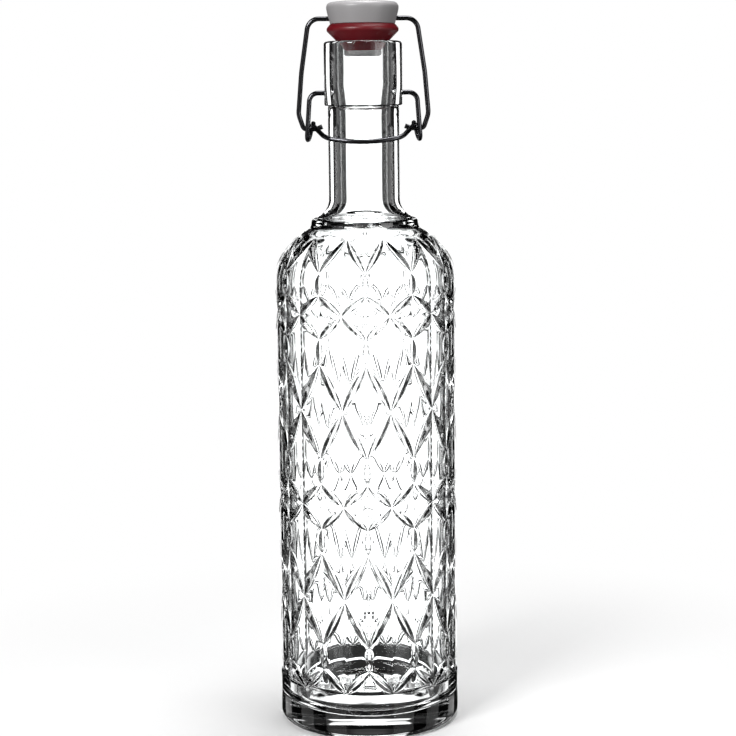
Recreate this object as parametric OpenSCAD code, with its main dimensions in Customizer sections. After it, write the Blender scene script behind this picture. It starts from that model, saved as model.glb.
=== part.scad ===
// Swing top bottle: a faceted glass bottle closed by a plug on a wire bail.
// Frame: millimetres, +Z up, origin at the centre of the base where the bottle stands.
// The thumb arc of the lever is at the front, towards -Y. The lever turns about the X axis.

/* [Glass] */
// Height of the glass from the standing ring to the lip
glass_h = 317; // [315:0.5:319]
// Radius of the plain base band, the widest part of the glass
body_r = 42; // [41:0.1:43]
// Depth of the faceted skin below the plain base band
skin_drop = 0.1; // [0.05:0.05:0.3]
// Radius of the arc that rounds the shoulder
shoulder_r = 26; // [25:0.5:27]
// Height where the shoulder arc starts
shoulder_z = 208; // [207:0.5:209]
// Wall thickness of the body, measured outside the cuts
wall_t = 4.6; // [3.5:0.1:5.5]
// Thickness of the floor inside the bottle
floor_t = 9.5; // [6:0.5:12]
// Radius of the rounded heel
heel_r = 3.8; // [2:0.1:5]
// Outer radius of the neck
neck_r = 16.4; // [15.5:0.1:17]
// Radius of the mouth's bore
bore_r = 12; // [11.5:0.1:12]
// Radius of the neck's bore, below the collar
throat_bore_r = 11; // [10.5:0.1:11.5]
// Radius of the collar that carries the lever
collar_r = 18; // [17.5:0.1:18.5]
// Height of the collar, down from the lip
collar_h = 29.4; // [27:0.1:32]
// Radius of the ring at the foot of the neck
ring_r = 24.7; // [24:0.1:24.8]

/* [Cut pattern] */
// Number of columns of diamonds round the body
columns = 12; // [10:2:14]
// Height from a row of tall diamonds to the next row of short ones
row_h = 43.3; // [42:0.1:43.5]
// Height of the lowest row of short diamonds
row_z = 22.1; // [20:0.1:25]
// Half the height of a tall diamond
tall_h = 21.6; // [19:0.1:23]
// Half the height of a short diamond
short_h = 10.4; // [8:0.1:12]
// Half the width of a slanting cut at its middle
cut_w = 2; // [1:0.1:2.4]
// Half the width of an upright cut at its middle
upright_w = 1.9; // [1:0.1:2.2]
// Depth of a cut at its middle
cut_d = 0.95; // [0.5:0.05:1.4]
// Depth of the crease across the middle of a diamond
crease_d = 0.6; // [0.2:0.05:1.2]

/* [Closure] */
// Diameter of the spring wire of the bail and the lever
wire_d = 2.2; // [2:0.05:2.2]
// Height of the lever pins in the collar
pin_z = 293.8; // [293:0.1:294.5]
// Height of the hook that joins the bail to the lever
hook_z = 277.5; // [277:0.1:278]
// How far the hook lies behind the lever pins when shut
hook_y = 1.5; // [1.3:0.1:1.7]
// Height of the bail wire where it passes through the head
bail_z = 327.2; // [327:0.1:328]
// Largest radius of the head
head_r = 16.5; // [16:0.1:16.8]
// Radius of the head at its underside
head_foot_r = 14.9; // [14.5:0.1:15.2]
// Height of the top of the head
head_top_z = 335.1; // [334:0.1:336]
// Largest radius of the gasket
gasket_r = 16.4; // [16.2:0.1:16.5]
// Running clearance of a pin in its hole
pin_gap = 0.08; // [0.05:0.01:0.1]

/* [Hidden] */
$fn = 96;
wire_fn = 32;
wire_r = wire_d / 2;

// ---------- Outline of the glass ----------
skin_r = body_r - skin_drop;
shoulder_x = skin_r - shoulder_r;
collar_z = glass_h - collar_h;
ring_top_z = 237.3;
ring_foot_z = 233.6;
ring_round = 2.4;
// The shoulder's arc ends at the crown, and a small hollow runs from there to the ring
crown_z = 231.6;
crown_hollow = [25.3, 232.7];
ring_foot_r = 24.9;
flare_z = 245.6;
flare_r = 8.5;
lip_round = 1.4;
mouth_round = 0.5;
collar_round = 1.3; // [0.4:0.1:2]
punt_r = 31.5;
punt_steps = 8;
punt_h = 1.9;
cavity_r = body_r - wall_t;
floor_round = 7;
floor_dome = 0.5;
shoulder_swell = 1.5;
inner_shoulder_deg = 50;
// The plain parts start just inside the cut skin, so the two meet on clean edges
skin_lap = 0.3;

// Points of an arc about c from angle a0 to a1
function arc(c, r, a0, a1, n = 12) =
    [for (i = [0:n]) let(a = a0 + (a1 - a0) * i / n) c + r * [cos(a), sin(a)]];

// Angle on the shoulder arc at the height z, for a skin raised by extra
function shoulder_angle(z, extra = 0) = asin((z - shoulder_z) / (shoulder_r + extra));

// Outside of the base band, from the standing ring up to where the cuts start
function base_outline() =
    concat([for (i = [0:punt_steps]) [punt_r * i / punt_steps, punt_h * (1 - pow(i / punt_steps, 2))]],
           [[body_r - heel_r, 0]],
           arc([body_r - heel_r, heel_r], heel_r, -90, 0),
           [[body_r, row_z + skin_lap], [0, row_z + skin_lap]]);

skin_top_z = 229.3;
neck_foot_z = skin_top_z - crease_d - skin_lap;
top_angle = shoulder_angle(neck_foot_z, skin_drop);
crown_angle = shoulder_angle(crown_z, skin_drop);

// Outside of the shoulder's top, the ring, the flare, the neck, the collar and the lip
function neck_outline() =
    concat([[0, neck_foot_z]],
           arc([shoulder_x, shoulder_z], shoulder_r + skin_drop, top_angle, crown_angle, 4),
           [crown_hollow, [ring_foot_r, ring_foot_z]],
           arc([ring_r - ring_round, ring_top_z - ring_round], ring_round, 0, 70, 6),
           arc([neck_r + flare_r, flare_z], flare_r, 258, 180, 10),
           [[neck_r, collar_z]],
           arc([collar_r - collar_round, collar_z + collar_round], collar_round, -90, 0, 6),
           arc([collar_r - lip_round, glass_h - lip_round], lip_round, 0, 90, 6),
           [[0, glass_h]]);

// Hollow of the bottle, from the floor to above the lip
cavity_top = shoulder_z - 1;
inner_r = shoulder_r - wall_t + shoulder_swell;
inner_x = cavity_r - inner_r;
throat_r = 12;
bore_step_z = 291;
bore_taper = 6;
function hollow_outline() =
    concat([[0, floor_t + floor_dome], [14, floor_t + 0.7 * floor_dome], [cavity_r - floor_round - 4, floor_t]],
           arc([cavity_r - floor_round, floor_t + floor_round], floor_round, -80, 0, 8),
           arc([inner_x, cavity_top], inner_r, 0, inner_shoulder_deg, 12),
           arc([throat_bore_r + throat_r, flare_z], throat_r, 220, 180, 8),
           [[throat_bore_r, bore_step_z - bore_taper], [bore_r, bore_step_z + bore_taper]],
           arc([bore_r + mouth_round, glass_h - mouth_round], mouth_round, 180, 90, 4),
           [[bore_r + mouth_round, glass_h + 5], [0, glass_h + 5]]);

// ---------- The cut skin ----------
// One cell runs from a diamond column (across = 0) to the node column beside it
// (across = cell_w), and from a row of tall diamonds (up = 0) to one of short ones
// (up = row_h). Mirrored cells tile the body.
half_step = 180 / columns;
cell_w = skin_r * half_step * PI / 180;
cut_steps = 6;
ridge_up = 27;
top_run = shoulder_z + shoulder_r * shoulder_angle(skin_top_z) * PI / 180;
row_runs = [for (k = [0:5]) k < 5 ? row_z + k * row_h : top_run];

// Share of a cut's full size at step i
function leaf(i) = let(swell = sin(180 * i / cut_steps)) swell * (1.5 - 0.5 * swell);

// A line along a cut from p to q as [across, up, depth]: side 0 is its sunken
// middle, and -1 and 1 are its right and left edges
function cut_line(p, q, w, side) =
    let(d = q - p, left = [-d[1], d[0]] / norm(d))
    [for (i = [0:cut_steps])
        let(c = p + d * (i / cut_steps) + left * (side * w * leaf(i)))
        [c[0], c[1], side == 0 ? cut_d * leaf(i) : 0]];

function reversed(list) = [for (i = [len(list) - 1:-1:0]) list[i]];

// Triangles from a point to each step of a line
function fan(c, line) = [for (i = [0:len(line) - 2]) [c, line[i], line[i + 1]]];

// Triangles between two lines that share their ends
function strip(right, left) =
    let(n = len(right) - 1)
    [[right[0], right[1], left[1]],
     for (i = [1:n - 2]) each [[right[i], right[i + 1], left[i + 1]], [right[i], left[i + 1], left[i]]],
     [right[n - 1], right[n], left[n - 1]]];

node_tall = [cell_w, 0];
node_short = [cell_w, row_h];
tall_edge = [cell_w, 0, 0];
short_edge = [cell_w, row_h, 0];
tip_tall = [0, tall_h];
tip_short = [0, row_h - short_h];
tall_mid = [0, 0, crease_d];
short_mid = [0, row_h, crease_d];
ridge_mid = [cell_w, ridge_up, 0];

function cut_faces(p, q, w) =
    concat(strip(cut_line(p, q, w, 0), cut_line(p, q, w, 1)), strip(cut_line(p, q, w, -1), cut_line(p, q, w, 0)));

cell_faces = concat(
    fan(tall_mid, cut_line(node_tall, tip_tall, cut_w, 1)),
    cut_faces(node_tall, tip_tall, cut_w),
    fan(ridge_mid, reversed(cut_line(node_tall, tip_tall, cut_w, -1))),
    fan(ridge_mid, reversed(cut_line(tip_tall, tip_short, upright_w, -1))),
    strip(cut_line(tip_tall, tip_short, upright_w, -1), cut_line(tip_tall, tip_short, upright_w, 0)),
    fan(ridge_mid, reversed(cut_line(tip_short, node_short, cut_w, -1))),
    cut_faces(tip_short, node_short, cut_w),
    fan(short_mid, cut_line(tip_short, node_short, cut_w, 1)));

// Wraps a cell point round the body: h is the half column and k the row
function wrapped(p, h, k) =
    let(share = p[0] / cell_w,
        angle = (h % 2 == 0 ? h + share : h + 1 - share) * half_step % 360,
        t = p[1] / row_h,
        tall_run = row_runs[k % 2 == 0 ? k + 1 : k],
        short_run = row_runs[k % 2 == 0 ? k : k + 1],
        run = tall_run * (1 - t) + short_run * t,
        a = run > shoulder_z ? (run - shoulder_z) / shoulder_r * 180 / PI : 0,
        r = shoulder_x + (shoulder_r - p[2]) * cos(a),
        z = run > shoulder_z ? shoulder_z + (shoulder_r - p[2]) * sin(a) : run)
    [r * cos(angle), r * sin(angle), z];

// A mirrored cell has its triangles turned back the right way round
function placed(face, h, k) =
    let(f = [for (p = face) wrapped(p, h, k)])
    (h + k) % 2 == 0 ? f : [f[0], f[2], f[1]];

function cap(h, k, point, side, z) =
    let(a = wrapped(h % 2 == 0 ? point : side, h, k),
        b = wrapped(h % 2 == 0 ? side : point, h, k))
    k == 0 ? [[0, 0, z], a, b] : [[0, 0, z], b, a];

skin_faces = [
    for (h = [0:2 * columns - 1], k = [0:4], face = cell_faces) placed(face, h, k),
    for (h = [0:2 * columns - 1]) cap(h, 0, short_mid, short_edge, row_z),
    for (h = [0:2 * columns - 1]) cap(h, 4, tall_mid, tall_edge, skin_top_z)];

module cut_skin() {
    polyhedron(points = [for (face = skin_faces) each face],
               faces = [for (i = [0:len(skin_faces) - 1]) [3 * i, 3 * i + 1, 3 * i + 2]]);
}

module plain_glass() {
    rotate_extrude() polygon(base_outline());
    rotate_extrude() polygon(neck_outline());
}

pin_x = 15.25;
socket_x = 15;

// The two blind sockets in the collar, open to the outside
module lever_sockets() {
    for (side = [0, 180])
        rotate([0, 0, side]) translate([socket_x, 0, pin_z]) rotate([0, 90, 0])
            cylinder(r = wire_r + pin_gap, h = collar_r);
}

module glass_bottle() {
    color([0.9, 0.95, 0.95, 0.35]) difference() {
        union() {
            cut_skin();
            plain_glass();
        }
        rotate_extrude() polygon(hollow_outline());
        lever_sockets();
    }
}

// ---------- Closure ----------
gasket_top_z = 324.7;
gasket_shelf_z = 322.9;
gasket_wide_z = 321.5;
gasket_foot_z = 312.3;
plug_r = 8.7;
plug_top_r = 11.2;
tip_r = 8.6;
tip_z = 309.6;
tip_round = 1.2;
stem_r = 5.5;

function head_outline() =
    concat([[0, tip_z]], arc([tip_r - tip_round, tip_z + tip_round], tip_round, -90, 0, 4),
           [[tip_r, gasket_foot_z], [stem_r, gasket_foot_z], [stem_r, gasket_top_z]],
           [[head_foot_r, gasket_top_z], [head_foot_r + 0.6, bail_z], [head_r, 331.6]],
           arc([head_r - 2, 333], 2, 0, 80, 6), [[0, head_top_z]]);

module stopper_head() {
    color([0.72, 0.71, 0.71]) difference() {
        rotate_extrude() polygon(head_outline());
        translate([0, 0, bail_z]) rotate([0, 90, 0])
            cylinder(r = wire_r + pin_gap, h = 2 * head_r + 4, center = true);
    }
}

function gasket_outline() =
    [[stem_r, gasket_foot_z], [plug_r, gasket_foot_z], [plug_top_r, gasket_wide_z - gasket_r + plug_top_r],
     [gasket_r, gasket_wide_z], [gasket_r, gasket_shelf_z], [head_foot_r, gasket_top_z], [stem_r, gasket_top_z]];

module gasket() {
    color([0.45, 0.05, 0.08]) rotate_extrude() polygon(gasket_outline());
}

// ---------- Bent wire ----------
// A wire is given by its corners p and the bend radius at each. It is drawn from one end
// on, each piece in the frame where the last one ended, with the wire running along +Z.
function unit(v) = v / norm(v);
function course(p, i) = unit(p[i + 1] - p[i]);
function turn(p, i) = acos(course(p, i - 1) * course(p, i));

// Length that the bend at corner i takes off the runs beside it
function trim(p, r, i) = i == 0 || i == len(p) - 1 ? 0 : r[i] * tan(turn(p, i) / 2);

// Direction from the wire towards the centre of the bend at corner i
function inward(p, i) = let(on = course(p, i), back = course(p, i - 1)) unit(on - (on * back) * back);

// Angle from the plane of the bend at corner i to that of the bend at the next corner
function twist(p, i) =
    let(go = course(p, i - 1), x = inward(p, i), y = cross(go, x),
        ahead = x * cos(turn(p, i)) - go * sin(turn(p, i)), next = inward(p, i + 1))
    atan2(next * y, next * ahead);

// Wire drawn round a bend swells a little, and the straight runs end just inside the bends
bend_swell = 0.02;
run_lap = 0.05;

module elbow(r, angle) {
    multmatrix([[-1, 0, 0, r], [0, 0, 1, 0], [0, 1, 0, 0], [0, 0, 0, 1]])
        rotate_extrude(angle = angle) translate([r, 0]) circle(r = wire_r + bend_swell, $fn = wire_fn);
}

module wire_from(p, r, i) {
    last = i == len(p) - 2;
    run = norm(p[i + 1] - p[i]) - trim(p, r, i) - trim(p, r, i + 1);
    lap = i == 0 ? 0 : run_lap;
    translate([0, 0, -lap]) cylinder(r = wire_r, h = run + lap + (last ? 0 : run_lap), $fn = wire_fn);
    if (!last) {
        b = r[i + 1];
        t = turn(p, i + 1);
        translate([0, 0, run]) rotate([0, 0, i == 0 ? 0 : twist(p, i)]) {
            elbow(b, t);
            translate([b, 0, 0]) rotate([0, t, 0]) translate([-b, 0, 0]) wire_from(p, r, i + 1);
        }
    }
}

module bent_wire(p, r) {
    z = course(p, 0);
    x = inward(p, 1);
    y = cross(z, x);
    multmatrix([[x[0], y[0], z[0], p[0][0]], [x[1], y[1], z[1], p[0][1]], [x[2], y[2], z[2], p[0][2]], [0, 0, 0, 1]])
        wire_from(p, r, 0);
}

function mirrored(p) = [-p[0], p[1], p[2]];

// The bail, shut: it leans back a little, from the head down to the hooks
bail_lean = hook_y / (bail_z - hook_z);
function bail_point(x, z) = [x, (bail_z - z) * bail_lean, z];
bail_half = [bail_point(24.6, bail_z), bail_point(28.2, 303), bail_point(29.8, 284.2),
             bail_point(27.5, hook_z), bail_point(21.8, hook_z), bail_point(18.9, hook_z + 1.1)];
bail_bends = [5.5, 60, 8, 2, 3, 0];

module bail_wire() {
    color([0.3, 0.3, 0.31])
        bent_wire(concat(reversed([for (p = bail_half) mirrored(p)]), bail_half),
                  concat(reversed(bail_bends), bail_bends));
}

eye_r = 2.55;
eye_front_y = hook_y - eye_r - 0.25;
eye_back_y = hook_y + eye_r;
eye_foot_z = 272.6;
arc_slope = 0.44;
arc_top_z = hook_z + 3.84;
function arc_point(x, y) = [x, y, arc_top_z - arc_slope * (eye_back_y - y)];
lever_half = [arc_point(0, -19), arc_point(17.2, -13.8), arc_point(22.95, -1.4), arc_point(23.1, eye_back_y),
              [25.3, eye_back_y, eye_foot_z], [26, eye_front_y, eye_foot_z], [24.5, 0, pin_z], [pin_x, 0, pin_z]];
lever_bends = [30, 9, 6, eye_r, eye_r, eye_r, 4, 0];

module lever_wire() {
    other_half = [for (i = [len(lever_half) - 1:-1:1]) mirrored(lever_half[i])];
    other_bends = [for (i = [len(lever_bends) - 1:-1:1]) lever_bends[i]];
    color([0.3, 0.3, 0.31])
        bent_wire(concat(other_half, lever_half), concat(other_bends, lever_bends));
}

glass_bottle();
stopper_head();
gasket();
bail_wire();
lever_wire();
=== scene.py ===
"""Dresses the swing top bottle: clear cut glass, a grey head, a red gasket and dark spring wire."""

import math

import bmesh
import bpy
from bpy.props import FloatProperty, FloatVectorProperty, IntProperty, PointerProperty
from bpy.types import Operator, Panel, PropertyGroup
from mathutils import Matrix, Vector
from mathutils.geometry import delaunay_2d_cdt


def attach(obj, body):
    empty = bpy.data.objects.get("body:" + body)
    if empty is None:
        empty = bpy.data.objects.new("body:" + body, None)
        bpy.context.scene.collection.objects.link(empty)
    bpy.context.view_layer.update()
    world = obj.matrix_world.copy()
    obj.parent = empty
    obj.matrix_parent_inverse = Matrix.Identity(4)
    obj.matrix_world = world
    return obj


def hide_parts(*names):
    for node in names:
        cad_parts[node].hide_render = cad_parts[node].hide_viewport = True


bl_info = {
    "name": "Swing Top Bottle",
    "version": (1, 0, 0),
    "blender": (4, 5, 0),
    "location": "View3D > Sidebar > Bottle",
    "description": "Makes a cut glass bottle with a wire bail closure",
    "category": "Add Mesh",
}

MM = 0.001
# Radius of a hole that a wire turns in
PIN_HOLE = 1.18 * MM
# Heights of the lever's pins in the collar and of the bail in the head, in millimetres
PIN_Z, BAIL_Z = 293.8, 327.2

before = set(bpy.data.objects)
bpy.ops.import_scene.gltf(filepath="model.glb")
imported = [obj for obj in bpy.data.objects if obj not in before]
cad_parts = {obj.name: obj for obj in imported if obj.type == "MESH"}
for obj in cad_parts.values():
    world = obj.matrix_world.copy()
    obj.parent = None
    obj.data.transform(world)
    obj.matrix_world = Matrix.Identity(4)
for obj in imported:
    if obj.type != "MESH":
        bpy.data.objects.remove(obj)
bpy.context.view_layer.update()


# ---------- Settings ----------


class GlassSettings(PropertyGroup):
    """Sizes and colour of the glass"""

    height: FloatProperty(
        name="Height", description="Height of the glass up to the lip", default=0.317, unit="LENGTH"
    )
    band_radius: FloatProperty(
        name="Base band radius", description="Radius of the plain band at the base",
        default=0.042, unit="LENGTH",
    )
    skin_drop: FloatProperty(
        name="Skin drop", description="How far the cut skin lies inside the base band",
        default=0.0001, unit="LENGTH",
    )
    shoulder_radius: FloatProperty(
        name="Shoulder radius", description="Radius of the arc of the shoulder",
        default=0.026, unit="LENGTH",
    )
    shoulder_height: FloatProperty(
        name="Shoulder height", description="Height where the shoulder arc starts",
        default=0.208, unit="LENGTH",
    )
    wall: FloatProperty(
        name="Wall", description="Thickness of the body's wall", default=0.0046, unit="LENGTH"
    )
    neck_radius: FloatProperty(
        name="Neck radius", description="Outer radius of the neck", default=0.0164, unit="LENGTH"
    )
    collar_radius: FloatProperty(
        name="Collar radius", description="Outer radius of the collar", default=0.018, unit="LENGTH"
    )
    mouth_bore: FloatProperty(
        name="Mouth bore", description="Radius of the mouth's bore", default=0.012, unit="LENGTH"
    )
    neck_bore: FloatProperty(
        name="Neck bore", description="Radius of the neck's bore, below the collar",
        default=0.011, unit="LENGTH",
    )
    tint: FloatVectorProperty(
        name="Tint", description="Colour of the glass",
        subtype="COLOR", size=3, default=(0.97, 0.98, 0.98), min=0, max=1,
    )


class CutSettings(PropertyGroup):
    """Sizes of the pattern of cuts"""

    columns: IntProperty(
        name="Columns", description="Columns of diamonds round the body", default=12, min=6, max=24
    )
    row_height: FloatProperty(
        name="Row height", description="Height between a tall and a short diamond row",
        default=0.0433, unit="LENGTH",
    )
    row_start: FloatProperty(
        name="Lowest row", description="Height of the lowest row", default=0.0221, unit="LENGTH"
    )
    top_row: FloatProperty(
        name="Top row", description="Height of the top row", default=0.2293, unit="LENGTH"
    )
    tall_half: FloatProperty(
        name="Tall diamond", description="Half the height of a tall diamond",
        default=0.0216, unit="LENGTH",
    )
    short_half: FloatProperty(
        name="Short diamond", description="Half the height of a short diamond",
        default=0.0104, unit="LENGTH",
    )
    width: FloatProperty(
        name="Cut width", description="Half the width of a slanting cut", default=0.002, unit="LENGTH"
    )
    upright: FloatProperty(
        name="Upright width", description="Half the width of an upright cut",
        default=0.0019, unit="LENGTH",
    )
    depth: FloatProperty(
        name="Cut depth", description="Depth of a cut at its middle, before its bottom is rounded",
        default=0.00125, unit="LENGTH",
    )
    crease: FloatProperty(
        name="Crease", description="Depth of the crease across a diamond", default=0.0006, unit="LENGTH"
    )


class ClosureSettings(PropertyGroup):
    """Sizes and colours of the closure"""

    wire_radius: FloatProperty(
        name="Wire radius", description="Radius of the spring wire", default=0.0011, unit="LENGTH"
    )
    head_colour: FloatVectorProperty(
        name="Head", description="Colour of the head",
        subtype="COLOR", size=3, default=(0.36, 0.35, 0.355), min=0, max=1,
    )
    gasket_colour: FloatVectorProperty(
        name="Gasket", description="Colour of the gasket",
        subtype="COLOR", size=3, default=(0.15, 0.003, 0.008), min=0, max=1,
    )
    wire_colour: FloatVectorProperty(
        name="Wire", description="Colour of the wire",
        subtype="COLOR", size=3, default=(0.07, 0.07, 0.075), min=0, max=1,
    )


# ---------- Helpers ----------


def new_object(name, mesh):
    """An object with this mesh, linked into the scene."""
    obj = bpy.data.objects.new(name, mesh)
    bpy.context.scene.collection.objects.link(obj)
    return obj


def arc_points(centre, radius, start, end, steps):
    """Points of an arc in a profile, angles in degrees."""
    angles = [math.radians(start + (end - start) * i / steps) for i in range(steps + 1)]
    return [(centre[0] + radius * math.cos(a), centre[1] + radius * math.sin(a)) for a in angles]


def smooth_faces(mesh, limit_deg=None):
    """Shades a mesh smooth, with sharp edges where it turns by more than the limit."""
    mesh.polygons.foreach_set("use_smooth", [True] * len(mesh.polygons))
    if limit_deg is None:
        return
    bm = bmesh.new()
    bm.from_mesh(mesh)
    limit = math.radians(limit_deg)
    for edge in bm.edges:
        edge.smooth = not (edge.is_manifold and edge.calc_face_angle(0) > limit)
    bm.to_mesh(mesh)
    bm.free()


def new_ring(bm, radius, height, angles):
    """Vertices round the Z axis; a ring with no radius is one vertex."""
    if radius == 0:
        return [bm.verts.new((0, 0, height))]
    return [bm.verts.new((radius * math.cos(a), radius * math.sin(a), height)) for a in angles]


def turned_piece(name, outline, segments, hollow=False):
    """A closed solid of revolution.

    The outline runs from the axis to the axis, bottom first, or right round a hollow one.
    """
    bm = bmesh.new()
    angles = [2 * math.pi * i / segments for i in range(segments)]
    rings = [new_ring(bm, radius, height, angles) for radius, height in outline]
    join_rings(bm, rings + rings[:1] if hollow else rings)
    bmesh.ops.recalc_face_normals(bm, faces=bm.faces)
    mesh = bpy.data.meshes.new(name)
    bm.to_mesh(mesh)
    bm.free()
    return new_object(name, mesh)


def join_rings(bm, rings):
    """Faces between rings of equal count; a ring of one vertex is a pole."""
    for low, high in zip(rings[:-1], rings[1:]):
        count = max(len(low), len(high))
        for i in range(count):
            after = i + 1
            corners = [low[i % len(low)], low[after % len(low)]]
            corners += [high[after % len(high)], high[i % len(high)]]
            corners = [v for n, v in enumerate(corners) if v not in corners[:n]]
            if len(corners) > 2:
                bm.faces.new(corners)


def bake_nodes(obj):
    """Turns the evaluated object into a plain mesh and drops its modifiers."""
    graph = bpy.context.evaluated_depsgraph_get()
    mesh = bpy.data.meshes.new_from_object(obj.evaluated_get(graph))
    obj.modifiers.clear()
    old = obj.data
    # A piece that came without a material has an empty first slot
    used = [m for m in mesh.materials if m]
    mesh.polygons.foreach_set("material_index", [0] * len(mesh.polygons))
    mesh.materials.clear()
    for material in used:
        mesh.materials.append(material)
    obj.data = mesh
    bpy.data.meshes.remove(old)


def drill(piece, reach, height, segments):
    """Cuts a round hole along X at this height, between two places along X."""
    low, high = sorted(reach)
    bit = turned_piece("bit", [(0, low), (PIN_HOLE, low), (PIN_HOLE, high), (0, high)], segments)
    bit.data.transform(Matrix.Translation((0, 0, height)) @ Matrix.Rotation(math.pi / 2, 4, "Y"))
    hole = piece.modifiers.new("hole", "BOOLEAN")
    hole.object, hole.operation, hole.solver = bit, "DIFFERENCE", "EXACT"
    bpy.context.view_layer.update()
    bake_nodes(piece)
    bpy.data.objects.remove(bit)


def new_material(name):
    """A material that uses nodes, with its nodes, its links and its shader."""
    material = bpy.data.materials.new(name)
    material.use_nodes = True
    nodes, links = material.node_tree.nodes, material.node_tree.links
    return material, nodes, links, nodes["Principled BSDF"]


class NodeTree:
    """A small writer for a Geometry Nodes tree."""

    def __init__(self, name, sizes):
        self.tree = bpy.data.node_groups.new(name, "GeometryNodeTree")
        face = self.tree.interface
        face.new_socket("Geometry", in_out="INPUT", socket_type="NodeSocketGeometry")
        for label, value in sizes.items():
            kind = "NodeSocketMaterial" if isinstance(value, bpy.types.Material) else "NodeSocketFloat"
            kind = "NodeSocketInt" if isinstance(value, int) else kind
            face.new_socket(label, in_out="INPUT", socket_type=kind)
        face.new_socket("Geometry", in_out="OUTPUT", socket_type="NodeSocketGeometry")
        self.values = sizes
        self.inputs = self.tree.nodes.new("NodeGroupInput").outputs
        self.result = self.tree.nodes.new("NodeGroupOutput").inputs[0]

    def node(self, kind, links=None, **settings):
        """A new node's outputs; its inputs are given as sockets to link or as values."""
        made = self.tree.nodes.new(kind)
        for key, value in settings.items():
            setattr(made, key, value)
        for key, source in (links or {}).items():
            if isinstance(source, bpy.types.NodeSocket):
                self.tree.links.new(source, made.inputs[key])
            else:
                made.inputs[key].default_value = source
        return made.outputs

    def math(self, operation, a, b=0.0):
        return self.node("ShaderNodeMath", {0: a, 1: b}, operation=operation)[0]

    def finish(self, geometry, material):
        """Joins the geometry to the tree's output, with its material."""
        whole = self.node("GeometryNodeRealizeInstances", {0: geometry})[0]
        done = self.node("GeometryNodeSetMaterial", {"Geometry": whole, "Material": material})[0]
        self.tree.links.new(done, self.result)

    def apply(self, obj):
        """Runs the tree on the object with the sizes it was made with."""
        modifier = obj.modifiers.new(self.tree.name, "NODES")
        modifier.node_group = self.tree
        for item in self.tree.interface.items_tree:
            if item.in_out == "INPUT" and item.name in self.values:
                modifier[item.identifier] = self.values[item.name]
        bake_nodes(obj)


# ---------- Glass ----------

# Radius of the flare between the neck and the ring, and the height of its centre
FLARE_R, FLARE_Z = 8.5 * MM, 245.6 * MM
# Where the sockets of the lever's pins end inside the collar, and a place outside it, along X
SOCKET_BOTTOM, OUTSIDE = 15 * MM, 20 * MM


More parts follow.
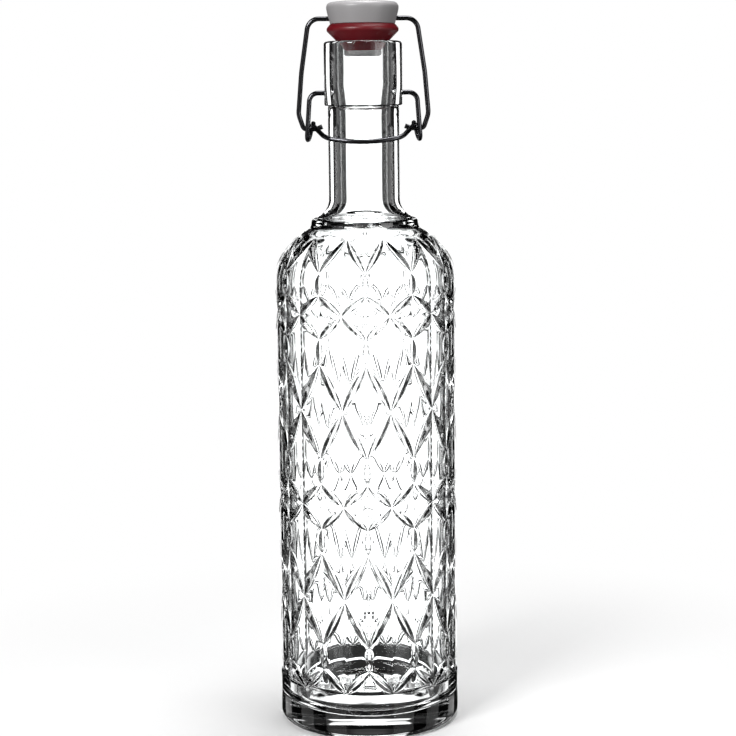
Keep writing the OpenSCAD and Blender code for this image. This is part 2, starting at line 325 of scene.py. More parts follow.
class CutCell:
    """One mirror cell of the pattern, from a diamond column to the node column beside it.

    Across runs round the body and up runs from a row of tall diamonds to a row of short ones.
    """

    # Points along a cut, and lines along it by their distance from its middle over its half width
    STEPS = 14
    LINES = (0.0, 0.2, 0.4, 0.65, 0.9, 1.14)
    # Columns of points over the cell, and how far apart their rows are
    GRID_COLUMNS = 8
    GRID = 1.6 * MM
    # Loose points keep this many half widths away from a cut, and this much more
    CLEAR_SHARE, CLEAR = 1.2, 0.45 * MM
    # How much of a true flat's depth a flat has, and the width its crease is rounded over
    FLATNESS = 0.9
    CREASE_ROUND = 2.2 * MM
    # Points nearer than this are one point; a triangle with less area, doubled, is a sliver
    JOINED, LEAST_AREA = 1e-7, 1e-11

    def __init__(self, glass, cuts):
        self.skin = glass.band_radius - glass.skin_drop
        self.wide = self.skin * math.pi / cuts.columns
        self.high = cuts.row_height
        self.cuts = cuts
        tall_tip = Vector((0, cuts.tall_half))
        short_tip = Vector((0, self.high - cuts.short_half))
        # Each cut: where it starts and ends, its half width, and its sides that lie in the cell
        self.leaves = [
            (Vector((self.wide, 0)), tall_tip, cuts.width, (-1, 1)),
            (short_tip, Vector((self.wide, self.high)), cuts.width, (-1, 1)),
            (tall_tip, short_tip, cuts.upright, (-1,)),
        ]

    def cut_at(self, leaf, point):
        """Distance from the middle of a leaf over its half width there, and its depth there."""
        start, end, width, _ = leaf
        along = end - start
        share = (point - start).dot(along) / along.length_squared
        if not 0 < share < 1:
            return math.inf, 0.0
        size = self.leaf_size(share)
        off = abs((point - start).cross(along)) / along.length
        return off / max(width * size, 1e-9), self.cuts.depth * size

    def depth(self, point):
        """How far the surface lies under the skin at a point of the cell."""
        total = 0.0
        for leaf in self.leaves:
            off, deep = self.cut_at(leaf, point)
            total += deep * self.groove(off)
        return total + self.facet(point)

    @staticmethod
    def leaf_size(share):
        """Width and depth of a leaf along its length, over those at its middle."""
        swell = math.sin(math.pi * share)
        return swell * (1.5 - 0.5 * swell)

    @staticmethod
    def groove(off):
        """Section of a cut: a V with a rounded bottom and rounded edges."""
        bottom, edge = 0.4, 0.16
        if off < bottom:
            return 1 - bottom / 2 - off * off / (2 * bottom)
        if off < 1 - edge:
            return 1 - off
        if off < 1 + edge:
            return (1 + edge - off) ** 2 / (4 * edge)
        return 0.0

    def facet(self, point):
        """The flats between the cuts and the creases across the diamonds."""
        cuts = self.cuts
        half = math.pi / cuts.columns / 2
        angle = point.x / self.skin
        flat = self.skin * (1 - math.cos(half) / math.cos(angle - half))
        across = (math.sqrt(point.x**2 + self.CREASE_ROUND**2) - self.CREASE_ROUND) / self.wide
        tall = max(0.0, 1 - across - point.y / cuts.tall_half)
        short = max(0.0, 1 - across - (self.high - point.y) / cuts.short_half)
        return self.FLATNESS * flat + cuts.crease * (tall + short)

    def mesh(self):
        """The cell's flat net of triangles, pressed in by its depths."""
        points, edges = [], []

        def add_line(line):
            first = len(points)
            points.extend(line)
            edges.extend((first + i, first + i + 1) for i in range(len(line) - 1))

        for start, end, width, sides in self.leaves:
            along = end - start
            normal = Vector((-along.y, along.x)).normalized()
            # Half evenly apart, half closer together towards the ends of the cut
            shares = [0.5 - 0.5 * math.cos(math.pi * i / self.STEPS) for i in range(self.STEPS + 1)]
            shares = [(a + i / self.STEPS) / 2 for i, a in enumerate(shares)]
            for off in self.LINES:
                for side in sides if off else (1,):
                    asides = [side * off * width * self.leaf_size(s) for s in shares]
                    add_line([start + along * s + normal * aside for s, aside in zip(shares, asides)])
        columns = self.GRID_COLUMNS
        for up in (0.0, self.high):
            add_line([Vector((self.wide * i / columns, up)) for i in range(columns + 1)])
        for across, low, high in (
            (self.wide, 0, self.high),
            (0, 0, self.cuts.tall_half),
            (0, self.high - self.cuts.short_half, self.high),
        ):
            count = round((high - low) / self.GRID)
            add_line([Vector((across, low + (high - low) * i / count)) for i in range(count + 1)])
        rows = round(self.high / self.GRID)
        for j in range(1, rows):
            for i in range(columns):
                stagger = 0.75 if j % 2 else 0.25
                spot = Vector((self.wide * (i + stagger) / columns, self.high * j / rows))
                if all(self.clear_of(leaf, spot) for leaf in self.leaves):
                    points.append(spot)
        found, _, faces, _, _, _ = delaunay_2d_cdt(points, edges, [], 0, self.JOINED)

        def double_area(face):
            a, b, c = (found[i] for i in face)
            return (b - a).cross(c - a)

        # Three points along the cell's border make a sliver with no area
        faces = [face for face in faces if double_area(face) > self.LEAST_AREA]
        mesh = bpy.data.meshes.new("cut_cell")
        mesh.from_pydata([(p.x, p.y, -self.depth(p)) for p in found], [], faces)
        return mesh

    def clear_of(self, leaf, spot):
        """Whether a loose point lies far enough from a cut."""
        start, end, width, _ = leaf
        along = end - start
        share = min(max((spot - start).dot(along) / along.length_squared, 0), 1)
        away = (spot - start - along * share).length
        return away > self.CLEAR_SHARE * width * self.leaf_size(share) + self.CLEAR


def cut_pattern_tree(glass, cuts, cell, material):
    """Geometry Nodes that repeat the cell, mirrored, and wrap it round body and shoulder."""
    top_angle = math.asin((cuts.top_row - glass.shoulder_height) / glass.shoulder_radius)
    top_run = glass.shoulder_height + glass.shoulder_radius * top_angle
    rows = 5
    sizes = {
        "Half columns": cuts.columns * 2,
        "Rows": rows,
        "Cell width": cell.wide,
        "Row height": cell.high,
        "Lowest row": cuts.row_start,
        "Top row share": (top_run - cuts.row_start - (rows - 1) * cell.high) / cell.high,
        "Skin radius": cell.skin,
        "Shoulder radius": glass.shoulder_radius,
        "Shoulder height": glass.shoulder_height,
        "Top run": top_run,
        "Fade length": 4 * MM,
        "Depth share at top": 0.1,
        "Seam width": 0.002 * MM,
        "Material": material,
    }
    made = NodeTree("Cut glass pattern", sizes)
    inputs, math_of = made.inputs, made.math
    half_columns, wide, high = inputs["Half columns"], inputs["Cell width"], inputs["Row height"]

    # One point for each cell, counted round the body and then up it
    count = math_of("MULTIPLY", half_columns, inputs["Rows"])
    line = made.node("GeometryNodeMeshLine", {"Count": count, "Offset": (0, 0, 0)})[0]
    index = made.node("GeometryNodeInputIndex")[0]
    column = math_of("MODULO", index, half_columns)
    row = math_of("FLOOR", math_of("DIVIDE", math_of("ADD", index, 0.5), half_columns))
    turned_column = math_of("MODULO", column, 2)
    turned_row = math_of("SUBTRACT", 1, math_of("MODULO", row, 2))
    x = math_of("MULTIPLY", math_of("ADD", column, turned_column), wide)
    y = math_of("MULTIPLY", math_of("ADD", row, turned_row), high)
    place = made.node("ShaderNodeCombineXYZ", {"X": x, "Y": y})[0]
    placed = made.node("GeometryNodeSetPosition", {"Geometry": line, "Position": place})[0]
    flip_x = math_of("SUBTRACT", 1, math_of("MULTIPLY", turned_column, 2))
    flip_y = math_of("SUBTRACT", 1, math_of("MULTIPLY", turned_row, 2))
    flips = made.node("ShaderNodeCombineXYZ", {"X": flip_x, "Y": flip_y, "Z": 1.0})[0]
    flipped_once = math_of("MULTIPLY", flip_x, flip_y)
    inside_out = made.node("FunctionNodeCompare", {0: flipped_once, 1: 0.0}, operation="LESS_THAN")[0]
    noted = made.node(
        "GeometryNodeStoreNamedAttribute",
        {"Geometry": placed, "Name": "inside_out", "Value": inside_out},
        data_type="BOOLEAN",
        domain="POINT",
    )[0]
    cells = made.node(
        "GeometryNodeInstanceOnPoints", {"Points": noted, "Instance": inputs["Geometry"], "Scale": flips}
    )[0]
    real = made.node("GeometryNodeRealizeInstances", {0: cells})[0]
    marked = made.node("GeometryNodeInputNamedAttribute", {"Name": "inside_out"}, data_type="BOOLEAN")[0]
    faced = made.node("GeometryNodeFlipFaces", {"Mesh": real, "Selection": marked})[0]

    # Wrapped: across becomes an angle, up becomes a run along the wall and over the shoulder
    at = made.node("ShaderNodeSeparateXYZ", {0: made.node("GeometryNodeInputPosition")[0]})
    angle = math_of("DIVIDE", at["X"], inputs["Skin radius"])
    cells_up = math_of("DIVIDE", at["Y"], high)
    full = math_of("MINIMUM", cells_up, math_of("SUBTRACT", inputs["Rows"], 1))
    squeezed = math_of("MULTIPLY", math_of("SUBTRACT", cells_up, full), inputs["Top row share"])
    run = math_of("ADD", inputs["Lowest row"], math_of("MULTIPLY", math_of("ADD", full, squeezed), high))
    over = math_of("MAXIMUM", math_of("SUBTRACT", run, inputs["Shoulder height"]), 0)
    lean = math_of("DIVIDE", over, inputs["Shoulder radius"])
    room = math_of("DIVIDE", math_of("SUBTRACT", inputs["Top run"], run), inputs["Fade length"])
    fade = math_of("MINIMUM", math_of("ADD", room, inputs["Depth share at top"]), 1)
    depth = math_of("MULTIPLY", at["Z"], fade)
    reach = math_of("ADD", inputs["Shoulder radius"], depth)
    inner = math_of("SUBTRACT", inputs["Skin radius"], inputs["Shoulder radius"])
    radius = math_of("ADD", inner, math_of("MULTIPLY", reach, math_of("COSINE", lean)))
    straight = math_of("SUBTRACT", run, over)
    height = math_of("ADD", straight, math_of("MULTIPLY", reach, math_of("SINE", lean)))
    wrapped = made.node(
        "ShaderNodeCombineXYZ",
        {
            "X": math_of("MULTIPLY", radius, math_of("COSINE", angle)),
            "Y": math_of("MULTIPLY", radius, math_of("SINE", angle)),
            "Z": height,
        },
    )[0]
    body = made.node("GeometryNodeSetPosition", {"Geometry": faced, "Position": wrapped})[0]
    seams = {"Geometry": body, "Distance": inputs["Seam width"]}
    joined = made.node("GeometryNodeMergeByDistance", seams)[0]
    made.finish(joined, inputs["Material"])
    return made


def scaled(points):
    """Points of an outline given in millimetres."""
    return [(radius * MM, height * MM) for radius, height in points]


def neck_outline(glass, cuts):
    """From the top of the cut skin up over the ring, the neck, the collar and the lip."""
    shoulder_x = glass.band_radius - glass.skin_drop - glass.shoulder_radius
    arc_r = glass.shoulder_radius + 0.05 * MM
    top = math.degrees(math.asin((cuts.top_row - glass.shoulder_height) / glass.shoulder_radius))
    crown = math.degrees(math.asin((231.6 * MM - glass.shoulder_height) / arc_r))
    ring_r, ring_top, ring_round = 24.7 * MM, 237.3 * MM, 2.4 * MM
    neck, collar, lip = glass.neck_radius, glass.collar_radius, glass.height
    collar_z, collar_round = lip - 29.4 * MM, 1.3 * MM
    lip_round, mouth_round = 1.4 * MM, 0.5 * MM
    dip = scaled([(26, 232.05), (25.3, 232.7), (24.9, 233.6)])
    # Extra points hold the shading straight on either side of the collar's step
    held, sharp, sharper = 14 * MM, 0.35 * MM, 0.08 * MM
    return (
        arc_points((shoulder_x, glass.shoulder_height), arc_r, top + 1.6, crown, 3)
        + dip
        + arc_points((ring_r - ring_round, ring_top - ring_round), ring_round, 0, 70, 8)
        + arc_points((neck + FLARE_R, FLARE_Z), FLARE_R, 258, 180, 16)
        + [(neck, collar_z - held), (neck, collar_z - sharp), (neck + 0.1 * MM, collar_z - sharper)]
        + arc_points((collar - collar_round, collar_z + collar_round), collar_round, -86, 0, 8)
        + [(collar, collar_z + held)]
        + arc_points((collar - lip_round, lip - lip_round), lip_round, 0, 90, 7)
        + arc_points((glass.mouth_bore + mouth_round, lip - mouth_round), mouth_round, 90, 180, 4)
    )


def hollow_outline(glass):
    """From the mouth down inside, over the step of the bore, to the middle of the floor."""
    mouth, bore = glass.mouth_bore, glass.neck_bore
    cavity = glass.band_radius - glass.wall
    inner_r = glass.shoulder_radius - glass.wall + 1.5 * MM
    floor_z, floor_round, dome, dome_r = 9.5 * MM, 7 * MM, 0.5 * MM, 30.4
    throat, ease = 12 * MM, 0.05 * MM
    return (
        [(mouth, 297.5 * MM), (mouth - ease, 296.5 * MM), (bore + ease, 285.5 * MM), (bore, 284.5 * MM)]
        + arc_points((bore + throat, FLARE_Z), throat, 180, 220, 10)
        + arc_points((cavity - inner_r, glass.shoulder_height - 1 * MM), inner_r, 50, 0, 14)
        + [(cavity, z * MM) for z in (180, 140, 100, 60, 30)]
        + arc_points((cavity - floor_round, floor_z + floor_round), floor_round, 0, -80, 8)
        + [(r * MM, floor_z + dome * (1 - (r / dome_r) ** 2)) for r in (26, 20, 14, 8, 3, 0)]
    )


def base_outline(glass, cuts):
    """From the foot of the cut skin down round the heel to the middle of the base."""
    band, heel, punt, rise, punt_steps = glass.band_radius, 3.8 * MM, 31.5 * MM, 1.9 * MM, 16
    edge = 0.4 * MM
    return (
        [(band - 0.03 * MM, cuts.row_start - 0.25 * MM), (band, cuts.row_start - 0.5 * MM), (band, 12 * MM)]
        + arc_points((band - heel, heel), heel, 0, -90, 8)
        + arc_points((punt + edge, edge), edge, -90, -160, 3)
        + [
            (punt * i / punt_steps, rise * (1 - (i / punt_steps) ** 2))
            for i in range(punt_steps - 1, -1, -1)
        ]
    )


def close_glass(mesh, glass, cuts):
    """Joins the neck, the base and the hollow on to the rims of the cut skin."""
    bm = bmesh.new()
    bm.from_mesh(mesh)
    rims = {v for e in bm.edges if e.is_boundary for v in e.verts}
    middle = glass.height / 2
    for outline, is_rim in (
        (neck_outline(glass, cuts) + hollow_outline(glass), lambda v: v.co.z > middle),
        (base_outline(glass, cuts), lambda v: v.co.z < middle),
    ):
        first = sorted((v for v in rims if is_rim(v)), key=lambda v: math.atan2(v.co.y, v.co.x))
        # A clean rim has many points to each column of diamonds
        if len(first) < 4 * cuts.columns:
            raise RuntimeError("The cut skin has no clean rim")
        angles = [math.atan2(v.co.y, v.co.x) for v in first]
        rings = [first]
        for radius, height in outline:
            rings.append(new_ring(bm, radius, height, angles))
        join_rings(bm, rings)
    bmesh.ops.recalc_face_normals(bm, faces=bm.faces)
    if any(not e.is_manifold for e in bm.edges):
        raise RuntimeError("The glass is not closed")
    if bm.calc_volume() < 0:
        bmesh.ops.reverse_faces(bm, faces=bm.faces)
    bm.to_mesh(mesh)
    bm.free()


def glass_material(glass):
    """Clear pressed glass with a faint waviness."""
    material, nodes, links, shader = new_material("clear_glass")
    shader.inputs["Base Color"].default_value = (*glass.tint, 1)
    shader.inputs["Transmission Weight"].default_value = 1
    shader.inputs["Roughness"].default_value = 0
    shader.inputs["IOR"].default_value = 1.51
    where = nodes.new("ShaderNodeTexCoord")
    wave = nodes.new("ShaderNodeTexNoise")
    wave.inputs["Scale"].default_value = 90
    wave.inputs["Detail"].default_value = 1
    bump = nodes.new("ShaderNodeBump")
    bump.inputs["Strength"].default_value = 0.12
    bump.inputs["Distance"].default_value = 0.0004
    links.new(where.outputs["Object"], wave.inputs["Vector"])
    links.new(wave.outputs["Fac"], bump.inputs["Height"])
    links.new(bump.outputs["Normal"], shader.inputs["Normal"])
    return material


class BOTTLE_OT_glass(Operator):
    """Makes the cut glass bottle"""

    bl_idname = "bottle.glass"
    bl_label = "Glass"

    def execute(self, context):
        glass, cuts = context.scene.bottle_glass, context.scene.bottle_cuts
        material = glass_material(glass)
        cell = CutCell(glass, cuts)
        piece = new_object("cut_glass", cell.mesh())
        cut_pattern_tree(glass, cuts, cell, material).apply(piece)
        close_glass(piece.data, glass, cuts)
        piece.data.attributes.remove(piece.data.attributes["inside_out"])
        smooth_faces(piece.data)
        for side in (-1, 1):
            drill(piece, (side * SOCKET_BOTTOM, side * OUTSIDE), PIN_Z * MM, segments=32)
        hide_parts("glass_bottle")
        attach(piece, "bottle")
        return {"FINISHED"}


# ---------- Closure ----------

# Radius of the head's stem, which the gasket sits round, and the gasket's lowest and highest faces
STEM_R = 5.5 * MM
GASKET_FOOT, GASKET_TOP = 312.3 * MM, 324.7 * MM
# Half the length of the bit that drills the head from side to side
BIT_HALF = 30 * MM


def moulded_material(name, colour, roughness, grain, depth):
    """A moulded plastic or rubber with a fine grain and a slight unevenness."""
    material, nodes, links, shader = new_material(name)
    shader.inputs["Base Color"].default_value = (*colour, 1)
    where = nodes.new("ShaderNodeTexCoord")
    fine = nodes.new("ShaderNodeTexNoise")
    fine.inputs["Scale"].default_value = grain
    fine.inputs["Detail"].default_value = 3
    broad = nodes.new("ShaderNodeTexNoise")
    broad.inputs["Scale"].default_value = 160
    spread = nodes.new("ShaderNodeMapRange")
    spread.inputs["To Min"].default_value = roughness - 0.06
    spread.inputs["To Max"].default_value = roughness + 0.06
    bump = nodes.new("ShaderNodeBump")
    bump.inputs["Strength"].default_value = 0.25
    bump.inputs["Distance"].default_value = depth
    links.new(where.outputs["Object"], fine.inputs["Vector"])
    links.new(where.outputs["Object"], broad.inputs["Vector"])
    links.new(broad.outputs["Fac"], spread.inputs["Value"])
    links.new(spread.outputs["Result"], shader.inputs["Roughness"])
    links.new(fine.outputs["Fac"], bump.inputs["Height"])
    links.new(bump.outputs["Normal"], shader.inputs["Normal"])
    return material


class BOTTLE_OT_head(Operator):
    """Makes the grey head with its stem and its bore for the bail"""

    bl_idname = "bottle.head"
    bl_label = "Head"

    def execute(self, context):
        settings = context.scene.bottle_closure
        tip, tip_z, tip_round, edge = 8.6 * MM, 309.6 * MM, 1.2 * MM, 0.15 * MM
        outline = (
            [(0, tip_z + 0.5 * MM), (4.5 * MM, tip_z + 0.4 * MM), (5.2 * MM, tip_z)]
            + arc_points((tip - tip_round, tip_z + tip_round), tip_round, -90, 0, 6)
            + [(tip, GASKET_FOOT - edge), (tip - edge, GASKET_FOOT)]
            + [(STEM_R, GASKET_FOOT), (STEM_R, GASKET_TOP)]
            + [(14.5 * MM, GASKET_TOP), (14.85 * MM, GASKET_TOP + 0.2 * MM)]
            + scaled([(15.45, BAIL_Z), (16.1, 329.6), (16.42, 331.2)])
            + arc_points((14.2 * MM, 332.2 * MM), 2.3 * MM, 0, 78, 9)
            + scaled([(11, 334.85), (6, 335.05), (0, 335.1)])
        )
        piece = turned_piece("head", outline, segments=128)
        drill(piece, (-BIT_HALF, BIT_HALF), BAIL_Z * MM, segments=48)
        smooth_faces(piece.data, 35)
        plastic = moulded_material("grey_plastic", settings.head_colour, 0.36, 2600, 0.04 * MM)
        piece.data.materials.append(plastic)
        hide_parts("stopper_head")
        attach(piece, "stopper")
        return {"FINISHED"}


class BOTTLE_OT_gasket(Operator):
    """Makes the red gasket with its rim, cone and plug"""

    bl_idname = "bottle.gasket"
    bl_label = "Gasket"

    def execute(self, context):
        settings = context.scene.bottle_closure
        plug, edge = 8.7 * MM, 0.15 * MM
        outline = (
            [(STEM_R, GASKET_FOOT), (plug - edge, GASKET_FOOT), (plug, GASKET_FOOT + 0.2 * MM)]
            + scaled([(11.05, 316.1), (11.3, 316.4), (16.2, 321.3), (16.4, 321.65), (16.4, 322.7)])
            + scaled([(16.2, 323.05), (15.1, 324.4), (14.7, 324.7)])
            + [(STEM_R, GASKET_TOP)]
        )
        piece = turned_piece("gasket_ring", outline, segments=128, hollow=True)
        smooth_faces(piece.data, 30)
        rubber = moulded_material("red_rubber", settings.gasket_colour, 0.4, 1800, 0.05 * MM)
        piece.data.materials.append(rubber)
        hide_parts("gasket")
        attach(piece, "stopper")
        return {"FINISHED"}


# Where the bail hooks into the lever's eyes and where the pins end, in millimetres
HOOK_Z, HOOK_Y, PIN_X = 277.5, 1.5, 15.25
# The eye's bend radius, its lowest point, and its front and back
EYE, EYE_FOOT = 2.55, 272.6
EYE_FRONT, EYE_BACK = HOOK_Y - EYE - 0.25, HOOK_Y + EYE
# The thumb arc starts at this height and falls towards the front
ARC_TOP, ARC_SLOPE = HOOK_Z + 3.84, 0.44


def bail_corner(x, z):
    """A corner in the bail's plane, which leans from the head to the eyes."""
    return (x, (BAIL_Z - z) * HOOK_Y / (BAIL_Z - HOOK_Z), z)


def arc_corner(x, y):
    """A corner in the plane of the thumb arc."""
    return (x, y, ARC_TOP - ARC_SLOPE * (EYE_BACK - y))


# Corners of the right half of each wire and the bend radius at each, in millimetres
BAIL_HALF = [
    (bail_corner(24.6, BAIL_Z), 5.5),
    (bail_corner(28.2, 303), 60),
    (bail_corner(29.8, 284.2), 8),
    (bail_corner(27.5, HOOK_Z), 2),
    (bail_corner(21.8, HOOK_Z), 3),
    (bail_corner(18.9, HOOK_Z + 1.1), 0),
]
LEVER_HALF = [
    (arc_corner(0, -19), 30),
    (arc_corner(17.2, -13.8), 9),
    (arc_corner(22.95, -1.4), 6),
    (arc_corner(23.1, EYE_BACK), EYE),
    ((25.3, EYE_BACK, EYE_FOOT), EYE),
    ((26, EYE_FRONT, EYE_FOOT), EYE),
    ((24.5, 0, PIN_Z), 4),
    ((PIN_X, 0, PIN_Z), 0),
]


def wire_path(half, shared_middle):
    """Points along a wire with its bends rounded, from its left end to its right end."""
    other = [((-p[0], p[1], p[2]), r) for p, r in (half[1:] if shared_middle else half)][::-1]
    corners = [(Vector(p), r) for p, r in other + half]
    path = [corners[0][0]]
    for (before, _), (corner, radius), (after, _) in zip(corners, corners[1:], corners[2:]):
        arrive, leave = (corner - before).normalized(), (after - corner).normalized()
        turn = arrive.angle(leave)
        start = corner - arrive * radius * math.tan(turn / 2)
        inward = (leave - arrive * leave.dot(arrive)).normalized()
        # A step for every five degrees of the bend
        steps = max(3, round(math.degrees(turn) / 5))
        angles = [turn * i / steps for i in range(steps + 1)]
        path += [
            start + inward * radius * (1 - math.cos(a)) + arrive * radius * math.sin(a)
            for a in angles
        ]
    return [p * MM for p in path + [corners[-1][0]]]


def wire_material(colour):
    """Polished spring steel with a finely uneven gloss."""
    material, nodes, links, shader = new_material("spring_steel")
    shader.inputs["Base Color"].default_value = (*colour, 1)
    shader.inputs["Metallic"].default_value = 1
    where = nodes.new("ShaderNodeTexCoord")
    fine = nodes.new("ShaderNodeTexNoise")
    fine.inputs["Scale"].default_value = 900
    fine.inputs["Detail"].default_value = 2
    spread = nodes.new("ShaderNodeMapRange")
    spread.inputs["To Min"].default_value = 0.12
    spread.inputs["To Max"].default_value = 0.26
    links.new(where.outputs["Object"], fine.inputs["Vector"])
    links.new(fine.outputs["Fac"], spread.inputs["Value"])
    links.new(spread.outputs["Result"], shader.inputs["Roughness"])
    return material


def make_wire(name, path, settings, material):
    """Sweeps the round wire along its path with Geometry Nodes."""
    mesh = bpy.data.meshes.new(name)
    mesh.from_pydata(path, [(i, i + 1) for i in range(len(path) - 1)], [])
    piece = new_object(name, mesh)
    sizes = {"Wire radius": settings.wire_radius, "Sides": 20, "Material": material}
    made = NodeTree(name + " sweep", sizes)
    inputs = made.inputs
    curve = made.node("GeometryNodeMeshToCurve", {"Mesh": inputs["Geometry"]})[0]
    round_section = {"Resolution": inputs["Sides"], "Radius": inputs["Wire radius"]}
    section = made.node("GeometryNodeCurvePrimitiveCircle", round_section)[0]
    sweep = {"Curve": curve, "Profile Curve": section, "Fill Caps": True}
    swept = made.node("GeometryNodeCurveToMesh", sweep)[0]
    made.finish(swept, inputs["Material"])
    made.apply(piece)
    bm = bmesh.new()
    bm.from_mesh(piece.data)
    bmesh.ops.recalc_face_normals(bm, faces=bm.faces)
    bm.to_mesh(piece.data)
    bm.free()
    smooth_faces(piece.data, 40)
    return piece


class BOTTLE_OT_wires(Operator):
    """Makes the bail and the lever"""

    bl_idname = "bottle.wires"
    bl_label = "Wires"

    def execute(self, context):
        settings = context.scene.bottle_closure
        material = wire_material(settings.wire_colour)
        for name, half, shared, node, body in (
            ("bail", BAIL_HALF, False, "bail_wire", "bail"),
            ("lever", LEVER_HALF, True, "lever_wire", "lever"),
        ):
            piece = make_wire(name, wire_path(half, shared), settings, material)
            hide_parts(node)
            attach(piece, body)
        return {"FINISHED"}


# ---------- Stage ----------

# How bright a dark flag is, where a white panel is 1
FLAG = 0.004
# Panels and flags to the sides and in front, by the turn in degrees from straight behind
SIDES = [(78, FLAG), (80, 0.22), (100, 0.22), (102, FLAG)]
SIDES += [(120, FLAG), (122, 0.22), (148, 0.22), (150, 0.04), (180, 0.05)]
# The same behind the bottle: a white panel with a dark flag either side of it
BEHIND = [(0, 1), (5, 1), (8, 0.45), (16, 0.42), (17, FLAG), (46, FLAG), (50, 0.03), (64, 0.03), (67, FLAG)]
# The same low down, where the middle is dark and there is one panel either side of it
BELOW = [(0, FLAG), (34, FLAG), (36, 0.4), (54, 0.4), (56, FLAG)]
# Where the low part is seen, by the sine of the height above the horizon: 1 is fully
LOW_PART = [(-1, 1), (-0.41, 1), (-0.39, 0), (-0.355, 0), (-0.345, 1), (-0.315, 1), (-0.305, 0), (1, 0)]
# How bright the panels are from the ground up, by the same sine
UPRIGHT = [(-1, FLAG), (-0.75, FLAG), (-0.7, 1), (0.16, 1), (0.2, FLAG), (1, 0.05)]
# Half the width of the floor, and how far it lies below the bottle
FLOOR_HALF, FLOOR_DROP = 6, 0.1 * MM
# How far from the bottle's axis the floor starts to fade to white, and where it has
FADE_START, FADE_END = 0.06, 0.32
# Focal length and frame width in pixels, and the camera's place, downward tilt and roll in degrees
FOCAL_LENGTH, FRAME_WIDTH = 1838, 736
CAMERA_PLACE, CAMERA_DOWN, CAMERA_ROLL = (0.0008, -0.85, 0.288), 8.13, -0.62
# Strength of the panels, and what is added for a ray that has come through glass
PANEL_STRENGTH, THROUGH_GLASS = 2.6, 0.9


def studio_world(scene):
    """White to the camera; glass and metal see a bright studio with dark upright flags."""
    world = bpy.data.worlds.new("studio")
    scene.world = world
    world.use_nodes = True
    nodes, links = world.node_tree.nodes, world.node_tree.links
    nodes.clear()
    where = nodes.new("ShaderNodeTexCoord")
    apart = nodes.new("ShaderNodeSeparateXYZ")
    links.new(where.outputs["Generated"], apart.inputs[0])

    def math_node(operation, a, b=0.0):
        made = nodes.new("ShaderNodeMath")
        made.operation = operation
        for socket, value in zip(made.inputs, (a, b)):
            if isinstance(value, float):
                socket.default_value = value
            else:
                links.new(value, socket)
        return made.outputs[0]

    def ramp_node(source, stops):
        ramp = nodes.new("ShaderNodeValToRGB")
        while len(ramp.color_ramp.elements) < len(stops):
            ramp.color_ramp.elements.new(0.5)
        for element, (place, level) in zip(ramp.color_ramp.elements, stops):
            element.position = place
            element.color = (level, level, level, 1)
        links.new(source, ramp.inputs["Fac"])
        return ramp.outputs["Color"]

    def by_turn(stops):
        return ramp_node(turn, [(degrees / 180, shade) for degrees, shade in stops])

    def by_rise(stops):
        return ramp_node(rise, [((sine + 1) / 2, shade) for sine, shade in stops])

    # Turn: 0 straight behind the bottle and 1 in front. Rise: 0 straight down and 1 straight up
    angle = math_node("ARCTAN2", math_node("ABSOLUTE", apart.outputs["X"]), apart.outputs["Y"])
    turn = math_node("DIVIDE", angle, math.pi)
    rise = math_node("MULTIPLY_ADD", apart.outputs["Z"], 0.5)
    rise.node.inputs[2].default_value = 0.5
    blend = nodes.new("ShaderNodeMix")
    blend.data_type = "RGBA"
    # An RGBA mix keeps its factor, its two colours and its result at these places
    links.new(by_rise(LOW_PART), blend.inputs[0])
    links.new(by_turn(BEHIND + SIDES), blend.inputs[6])
    links.new(by_turn(BELOW + SIDES), blend.inputs[7])
    panels = math_node("MULTIPLY", blend.outputs[2], by_rise(UPRIGHT))
    studio = nodes.new("ShaderNodeBackground")
    links.new(panels, studio.inputs["Color"])
    white = nodes.new("ShaderNodeBackground")
    white.inputs["Color"].default_value = (1, 1, 1, 1)
    ray = nodes.new("ShaderNodeLightPath")
    mix = nodes.new("ShaderNodeMixShader")
    out = nodes.new("ShaderNodeOutputWorld")
    strength = math_node("MULTIPLY_ADD", ray.outputs["Is Transmission Ray"], THROUGH_GLASS)
    strength.node.inputs[2].default_value = PANEL_STRENGTH
    links.new(strength, studio.inputs["Strength"])
    links.new(ray.outputs["Is Camera Ray"], mix.inputs["Fac"])
    links.new(studio.outputs[0], mix.inputs[1])
    links.new(white.outputs[0], mix.inputs[2])
    links.new(mix.outputs[0], out.inputs["Surface"])


def floor_material():
    """A pale floor that takes the shadow near the bottle and fades to white further out.

    Glass and metal look past it, into the studio.
    """
    material, nodes, links, shader = new_material("pale_floor")
    shader.inputs["Base Color"].default_value = (0.9, 0.9, 0.9, 1)
    shader.inputs["Roughness"].default_value = 0.6
    where = nodes.new("ShaderNodeTexCoord")
    far = nodes.new("ShaderNodeVectorMath")
    far.operation = "LENGTH"
    fade = nodes.new("ShaderNodeMapRange")
    fade.interpolation_type = "SMOOTHSTEP"
    fade.inputs["From Min"].default_value = FADE_START
    fade.inputs["From Max"].default_value = FADE_END
    glow = nodes.new("ShaderNodeEmission")
    seen = nodes.new("ShaderNodeMixShader")
    past = nodes.new("ShaderNodeBsdfTransparent")
    ray = nodes.new("ShaderNodeLightPath")
    mix = nodes.new("ShaderNodeMixShader")
    links.new(where.outputs["Object"], far.inputs[0])
    links.new(far.outputs["Value"], fade.inputs["Value"])
    links.new(fade.outputs["Result"], seen.inputs["Fac"])
    links.new(shader.outputs[0], seen.inputs[1])
    links.new(glow.outputs[0], seen.inputs[2])
    links.new(ray.outputs["Is Camera Ray"], mix.inputs["Fac"])
    links.new(past.outputs[0], mix.inputs[1])
    links.new(seen.outputs[0], mix.inputs[2])
    links.new(mix.outputs[0], nodes["Material Output"].inputs["Surface"])
    return material


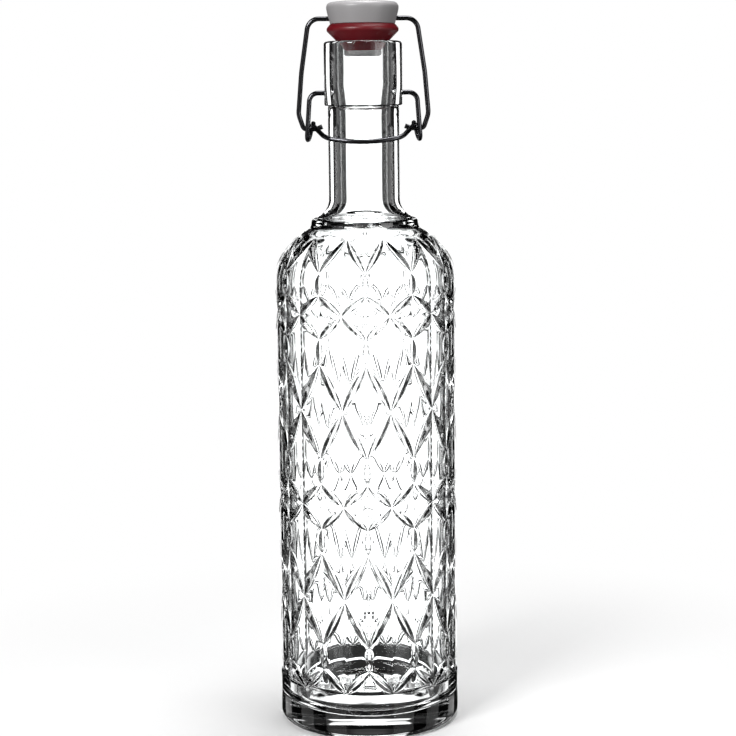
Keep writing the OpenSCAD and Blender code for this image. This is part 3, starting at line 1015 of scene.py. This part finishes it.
def add_lamp(name, place, aim, size, power):
    """A square soft light: sizes in metres, power in watts."""
    data = bpy.data.lights.new(name, "AREA")
    data.energy = power
    data.size = size
    lamp = bpy.data.objects.new(name, data)
    lamp.location = place
    lamp.rotation_euler = (Vector(aim) - Vector(place)).to_track_quat("-Z", "Y").to_euler()
    bpy.context.scene.collection.objects.link(lamp)


def add_camera(scene):
    """Looks slightly down on the bottle from the front."""
    data = bpy.data.cameras.new("camera")
    data.sensor_width = 36
    data.lens = FOCAL_LENGTH / FRAME_WIDTH * data.sensor_width
    camera = bpy.data.objects.new("camera", data)
    camera.location = CAMERA_PLACE
    level = Matrix.Rotation(math.radians(90 - CAMERA_DOWN), 4, "X")
    roll = Matrix.Rotation(math.radians(CAMERA_ROLL), 4, "Z")
    camera.rotation_euler = (level @ roll).to_euler()
    scene.collection.objects.link(camera)
    scene.camera = camera


class BOTTLE_OT_stage(Operator):
    """Sets the floor, the lights, the world and the camera"""

    bl_idname = "bottle.stage"
    bl_label = "Stage"

    def execute(self, context):
        scene = context.scene
        scene.view_settings.view_transform = "Standard"
        studio_world(scene)
        mesh = bpy.data.meshes.new("floor")
        signs = [(-1, -1), (1, -1), (1, 1), (-1, 1)]
        mesh.from_pydata([(FLOOR_HALF * x, FLOOR_HALF * y, 0) for x, y in signs], [], [(0, 1, 2, 3)])
        mesh.materials.append(floor_material())
        floor = new_object("floor", mesh)
        floor.location.z = -FLOOR_DROP
        add_lamp("key", (-0.55, -0.75, 0.75), (0, 0, 0.28), 0.35, 9)
        add_lamp("fill", (0.75, -0.65, 0.5), (0, 0, 0.25), 0.5, 2.5)
        add_lamp("top", (0.1, 0.1, 1.2), (0, 0, 0.2), 0.6, 12)
        add_camera(scene)
        return {"FINISHED"}


class BOTTLE_PT_pieces(Panel):
    """Lists the pieces of the bottle"""

    bl_idname = "BOTTLE_PT_pieces"
    bl_label = "Swing Top Bottle"
    bl_space_type = "VIEW_3D"
    bl_region_type = "UI"
    bl_category = "Bottle"

    def draw(self, context):
        scene = context.scene
        for title, settings, operators in (
            ("Glass", scene.bottle_glass, ("bottle.glass",)),
            ("Cuts", scene.bottle_cuts, ()),
            ("Closure", scene.bottle_closure, ("bottle.head", "bottle.gasket", "bottle.wires")),
        ):
            box = self.layout.box()
            box.label(text=title)
            for name in settings.__annotations__:
                box.prop(settings, name)
            for operator in operators:
                box.operator(operator)
        self.layout.operator("bottle.stage")


CLASSES = (
    GlassSettings,
    CutSettings,
    ClosureSettings,
    BOTTLE_OT_glass,
    BOTTLE_OT_head,
    BOTTLE_OT_gasket,
    BOTTLE_OT_wires,
    BOTTLE_OT_stage,
    BOTTLE_PT_pieces,
)


def register():
    for cls in CLASSES:
        bpy.utils.register_class(cls)
    bpy.types.Scene.bottle_glass = PointerProperty(type=GlassSettings)
    bpy.types.Scene.bottle_cuts = PointerProperty(type=CutSettings)
    bpy.types.Scene.bottle_closure = PointerProperty(type=ClosureSettings)


def unregister():
    del bpy.types.Scene.bottle_glass
    del bpy.types.Scene.bottle_cuts
    del bpy.types.Scene.bottle_closure
    for cls in reversed(CLASSES):
        bpy.utils.unregister_class(cls)


def main():
    register()
    bpy.ops.bottle.glass()
    bpy.ops.bottle.head()
    bpy.ops.bottle.gasket()
    bpy.ops.bottle.wires()
    bpy.ops.bottle.stage()
    bpy.context.view_layer.update()


if __name__ == "__main__":
    main()
